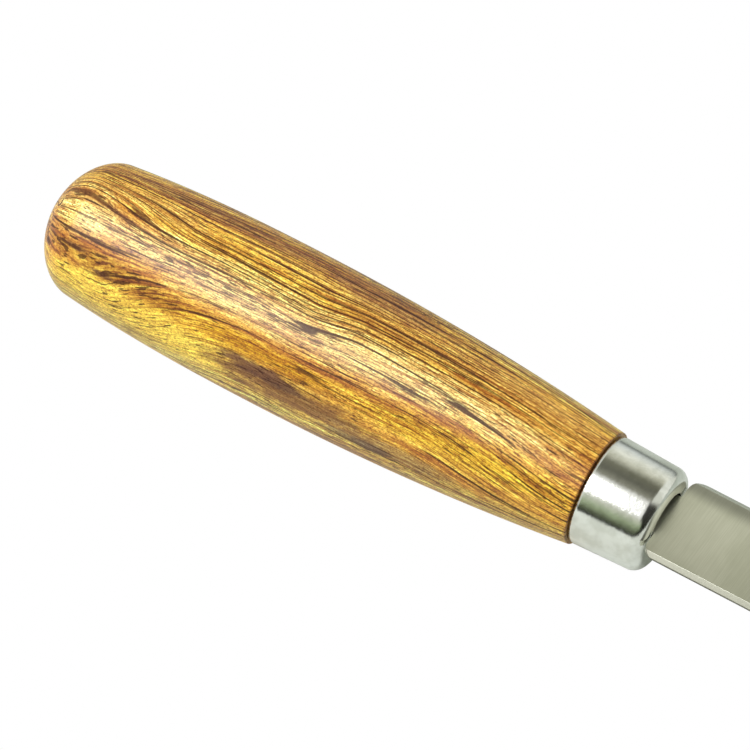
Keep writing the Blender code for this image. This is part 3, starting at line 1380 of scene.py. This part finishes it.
    def build(self) -> bmesh.types.BMesh:
        """Draws the tang and the blade out as one bar, section after section.

        Returns:
            The mesh.
        """
        tang = self.tang_section()
        root = self.heel - self.tang_root
        rows = [(self.tang_end, tang), (root - self.tang_root, tang), (root, tang)]
        rows += [(self.heel - self.tang_root / 3, self.tang_section(0.7 * MM))]
        rows += [(self.heel, self.tang_section(0.8 * MM))]
        rows += [(self.heel + station, self.section(station)) for station in self.stations()]
        shape = bmesh.new()
        corner = shape.verts.layers.int.new("corner")
        ring = [shape.verts.new((rows[0][0], y, self.offset + z)) for y, z in rows[0][1]]
        for number, vert in enumerate(ring):
            vert[corner] = number
        shape.faces.new(ring)
        edges = list(shape.edges)
        for station, section in rows[1:]:
            drawn = bmesh.ops.extrude_edge_only(shape, edges=edges)["geom"]
            for vert in (item for item in drawn if isinstance(item, bmesh.types.BMVert)):
                y, z = section[vert[corner]]
                vert.co = (station, y, self.offset + z)
            edges = [
                item
                for item in drawn
                if isinstance(item, bmesh.types.BMEdge) and len(item.link_faces) == 1
            ]
        bmesh.ops.contextual_create(shape, geom=edges)
        return shape

    def dress(self) -> bpy.types.Object:
        """Builds the blade in its finish."""
        steel = SatinSteel(self.axes, half_width=self.half_width, bevel=self.bevel)
        return self.lay(self.build(), steel.material(), 18.0)


@dataclass
class TangResin:
    """The resin in the bore, whose own node stays."""

    axes: KnifeAxes
    node: str = "tang_resin"

    def dress(self) -> bpy.types.Object:
        """Gives the node its finish.

        Returns:
            The node's object.
        """
        piece = frame["nodes"][self.node]
        piece.data.materials.clear()
        piece.data.materials.append(CuredResin(self.axes).material())
        return piece


# ---------------------------------------------------------------------------------------------
# Studio


@dataclass(frozen=True)
class Softbox:
    """A rectangular soft light, its length along the knife."""

    name: str
    direction: Point
    distance: float
    length: float
    breadth: float
    power: float
    colour: Colour = (1.0, 1.0, 1.0)


@dataclass
class Studio:
    """The floor, the lights and the camera."""

    axes: KnifeAxes
    aim_station: float = 72.77 * MM
    aim_drop: float = 0.236 * MM  # how far below the knife's axis the camera aims
    tilt: float = math.radians(16.58)  # the tip's lean towards the camera
    slope: float = math.radians(27.47)  # how far the knife runs downhill in the camera's view
    distance: float = 0.9
    lens: float = 225.9
    sensor: float = 36.0
    card_away: float = 0.33
    card_height: float = 0.03
    card_half_length: float = 0.8
    floor_half: float = 6.0
    floor_drop: float = 0.2 * MM

    LIGHTS = (Softbox("key_softbox", (-0.37, -0.520, 0.769), 1.3, 0.60, 0.66, 15.9),)
    AHEAD_ABOVE = (0.42, 0.43, 0.39)
    AHEAD_BELOW = (0.008, 0.008, 0.006)
    BEHIND = (0.36, 0.37, 0.33)
    SKY = (
        (-90.0, (0.03, 0.035, 0.02)),
        (-82.0, (0.10, 0.12, 0.07)),
        (-70.0, (0.36, 0.44, 0.27)),
        (-55.0, (0.58, 0.60, 0.50)),
        (-44.0, (0.95, 0.95, 0.92)),
        (-16.0, (0.95, 0.95, 0.92)),
        (-8.0, (0.26, 0.26, 0.20)),
        (8.0, (0.13, 0.13, 0.10)),
        (24.0, (0.18, 0.18, 0.13)),
        (39.0, (0.62, 0.62, 0.50)),
        (55.0, (0.90, 0.91, 0.80)),
        (76.0, (0.67, 0.71, 0.68)),
        (85.0, (0.27, 0.29, 0.275)),
        (90.0, (0.175, 0.19, 0.18)),
    )

    @staticmethod
    def stand(
        name: str, shape: bmesh.types.BMesh, material: bpy.types.Material, drop: float = 0.0
    ) -> bpy.types.Object:
        """Makes a part of the studio of a mesh.

        Args:
            name: Its name.
            shape: The mesh, which is freed.
            material: Its finish.
            drop: How far it is lowered.

        Returns:
            The object.
        """
        mesh = bpy.data.meshes.new(name)
        shape.to_mesh(mesh)
        shape.free()
        mesh.materials.append(material)
        stood = bpy.data.objects.new(name, mesh)
        bpy.context.scene.collection.objects.link(stood)
        stood.location.z = -drop
        return stood

    def floor(self) -> None:
        """Lays a large pale floor just under the knife."""
        shape = bmesh.new()
        bmesh.ops.create_grid(shape, x_segments=1, y_segments=1, size=self.floor_half)
        self.stand("floor", shape, PaleFloor(self.axes).material(), self.floor_drop)

    def dark_card(self) -> None:
        """Stands a low dark strip on the floor, on the camera's side, for the polish to mirror."""
        shape = bmesh.new()
        bmesh.ops.create_grid(shape, x_segments=1, y_segments=1, size=0.5)
        flat = Matrix.Diagonal((self.card_half_length * 2, self.card_height, 1.0, 1.0))
        stand = Matrix.Rotation(math.radians(90.0), 4, "X")
        place = Matrix.Translation((self.aim_station, -self.card_away, self.card_height / 2))
        bmesh.ops.transform(shape, matrix=place @ stand @ flat, verts=shape.verts)
        card = self.stand("dark_card", shape, BlackFelt(self.axes).material())
        card.visible_camera = False

    def sky(self) -> None:
        """Lights the room: bands of soft light round the knife's length, seen only in reflections."""
        world = bpy.data.worlds.new("studio_room")
        world.use_nodes = True
        bpy.context.scene.world = world
        graph = Graph(world.node_tree)
        direction = graph.node("ShaderNodeTexCoord", None, None, "Generated")
        x, y, z = graph.parts(direction)
        turn = graph.math("ARCTAN2", y, z) * (180.0 / math.pi)
        stops = [((angle + 90.0) / 180.0, tuple(c / 2 for c in colour)) for angle, colour in self.SKY]
        bands = graph.ramp((turn + 90.0) / 180.0, stops)
        # Towards the tip the room is pale above a slanting line and dark below it, on the
        # camera's side, which gives the ferrule its dark front corner. Behind the butt it is grey.
        side = z * 0.5 + y
        low = graph.greater(y.step(-0.88, -0.70), z.step(0.20, 0.05)) * side.step(0.34, 0.14)
        above = x.step(0.25, 0.50) * side.step(0.14, 0.34)
        bands = graph.mix(bands, self.AHEAD_ABOVE, above)
        below = x.step(0.08, 0.34) * low
        bands = graph.mix(bands, self.AHEAD_BELOW, below * 0.97)
        bands = graph.mix(bands, self.BEHIND, x.step(-0.30, -0.55) * 0.8)
        room = graph.node("ShaderNodeBackground", None, {"Color": bands, "Strength": 2.0})
        backdrop = graph.node("ShaderNodeBackground", None, {"Color": (1.0, 1.0, 1.0)})
        seen = graph.node("ShaderNodeLightPath", None, None, "Is Camera Ray")
        both = graph.node("ShaderNodeMixShader", None, {0: seen, 1: room, 2: backdrop})
        graph.make("ShaderNodeOutputWorld", None, {"Surface": both})

    def lights(self) -> None:
        """Hangs the softboxes, each turned to the handle."""
        target = self.axes.matrix @ Vector((self.aim_station, 0.0, 0.0))
        knife = self.axes.direction((1.0, 0.0, 0.0))
        for box in self.LIGHTS:
            data = bpy.data.lights.new(box.name, "AREA")
            data.shape = "RECTANGLE"
            data.size = box.length
            data.size_y = box.breadth
            data.energy = box.power
            data.color = box.colour
            lamp = bpy.data.objects.new(box.name, data)
            bpy.context.scene.collection.objects.link(lamp)
            away = Vector(box.direction).normalized()
            lengthwise = (knife - away * away.dot(knife)).normalized()
            turn = Matrix((lengthwise, away.cross(lengthwise), away)).transposed().to_4x4()
            lamp.matrix_world = Matrix.Translation(target + away * box.distance) @ turn
            lamp.visible_camera = False

    def camera(self) -> None:
        """Sets the camera by how the knife lies in its view."""
        across = (-math.sin(BEST_SIDE), math.cos(BEST_SIDE))
        level = math.cos(self.tilt)
        back = self.axes.direction((math.sin(self.tilt), level * across[0], level * across[1]))
        along = self.axes.direction((1.0, 0.0, 0.0))
        seen = (along - back * along.dot(back)).normalized()
        over = back.cross(seen)
        right = seen * math.cos(self.slope) + over * math.sin(self.slope)
        up = over * math.cos(self.slope) - seen * math.sin(self.slope)
        target = self.axes.matrix @ Vector((self.aim_station, 0.0, 0.0)) - over * self.aim_drop
        data = bpy.data.cameras.new("camera")
        data.lens = self.lens
        data.sensor_width = self.sensor
        data.clip_start = 0.05
        data.clip_end = 50.0
        camera = bpy.data.objects.new("camera", data)
        bpy.context.scene.collection.objects.link(camera)
        turn = Matrix((right, up, back)).transposed().to_4x4()
        camera.matrix_world = Matrix.Translation(target + back * self.distance) @ turn
        bpy.context.scene.camera = camera

    def set_up(self) -> None:
        """Sets up everything round the knife."""
        self.camera()
        self.floor()
        self.dark_card()
        self.sky()
        self.lights()
        view = bpy.context.scene.view_settings
        view.view_transform = "Standard"
        view.look = "None"


def main() -> None:
    """Builds the knife and the studio round it."""
    logging.basicConfig(level=logging.INFO, format="%(name)s: %(message)s")
    axes = KnifeAxes.from_frame(frame["record"])
    Studio(axes).set_up()
    collar = NodeShape.read(axes, "ferrule")
    pieces = (
        Handle.from_frame(axes, collar),
        Ferrule.from_frame(axes, collar),
        Blade.from_frame(axes, collar),
        TangResin(axes),
    )
    for piece in pieces:
        made = piece.dress()
        LOG.info("%s: %d faces", made.name, len(made.data.polygons))


if __name__ == "__main__":
    main()
